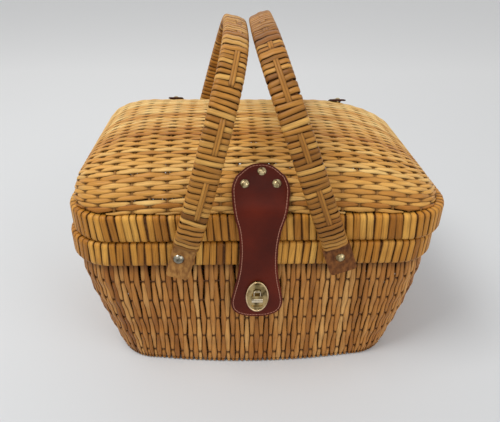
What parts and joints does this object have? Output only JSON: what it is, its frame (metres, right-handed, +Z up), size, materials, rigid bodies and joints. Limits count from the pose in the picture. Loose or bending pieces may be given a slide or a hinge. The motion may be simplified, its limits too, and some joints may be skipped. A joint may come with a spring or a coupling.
{
  "type": "picnic basket",
  "caption": "Woven willow picnic basket with a domed hinged lid, two swinging wrapped handles and a leather strap with a turn lock.",
  "frame": {"origin": "middle of the underside, on the face the basket stands on", "axes": "+X to the right seen from the strap side, +Y to the hinge side at the back, +Z up"},
  "size_m": [0.406, 0.3184, 0.3766],
  "materials": {
    "willow_weave": "split willow, satin varnish",
    "split_cane": "split cane wrapping, satin varnish",
    "bare_willow": "peeled willow and thin board, dull",
    "brown_leather": "smooth waxed leather, pale stitched edge",
    "pale_brass": "pale polished plating"
  },
  "bodies": {
    "body": {"base_panel": "bare_willow", "body_weave": "willow_weave", "body_hoops": "bare_willow", "body_rim_hoop": "bare_willow", "body_rim_wrap": "split_cane", "keeper_pad": "bare_willow", "keeper_plate": "pale_brass", "keeper_pins": "pale_brass", "left_hinge_strap_body_half": "brown_leather", "right_hinge_strap_body_half": "brown_leather", "hinge_rim_nails": "pale_brass", "handle_bolts": "pale_brass", "handle_spacers": "brown_leather", "handle_washers": "pale_brass", "handle_nuts": "pale_brass"},
    "lid": {"lid_weave": "willow_weave", "lid_ribs": "bare_willow", "lid_rim_hoop": "bare_willow", "lid_rim_wrap": "split_cane", "strap_upper": "brown_leather", "strap_rivets": "pale_brass", "strap_rivet_burrs": "pale_brass", "left_hinge_strap_lid_half": "brown_leather", "right_hinge_strap_lid_half": "brown_leather", "hinge_lid_rivets": "pale_brass"},
    "strap_tail": {"strap_tail": "brown_leather", "lock_plate": "pale_brass", "lock_back_plate": "pale_brass"},
    "turn_piece": {"lock_turn_piece": "pale_brass"},
    "left_handle": {"left_handle_core": "bare_willow", "left_handle_wrap": "split_cane", "left_handle_lacing": "split_cane"},
    "right_handle": {"right_handle_core": "bare_willow", "right_handle_wrap": "split_cane", "right_handle_lacing": "split_cane"}
  },
  "joints": [
    {"name": "lid_hinge", "type": "hinge", "parent": "body", "child": "lid", "pos_m": [0, 0.1285, 0.205], "axis": [-1, 0, 0], "range_deg": [0, 74]},
    {"name": "left_handle_swing", "type": "hinge", "parent": "body", "child": "left_handle", "pos_m": [-0.0823, 0, 0.1642], "axis": [0, -1, 0], "range_deg": [0, 148.5]},
    {"name": "right_handle_swing", "type": "hinge", "parent": "body", "child": "right_handle", "pos_m": [0.0837, 0, 0.1642], "axis": [0, 1, 0], "range_deg": [0, 148.5]},
    {"name": "strap_flex", "type": "hinge", "parent": "lid", "child": "strap_tail", "pos_m": [0, -0.1409, 0.178], "axis": [-1, 0, 0], "range_deg": [0, 80]},
    {"name": "lock_turn", "type": "hinge", "parent": "strap_tail", "child": "turn_piece", "pos_m": [-0.00089, -0.1409, 0.1106], "axis": [0, -1, 0], "range_deg": [0, 90]}
  ],
  "couplings": [
    {"joint": "left_handle_swing", "follows": "lid_hinge", "ratio": 2},
    {"joint": "right_handle_swing", "follows": "lid_hinge", "ratio": 2}
  ]
}
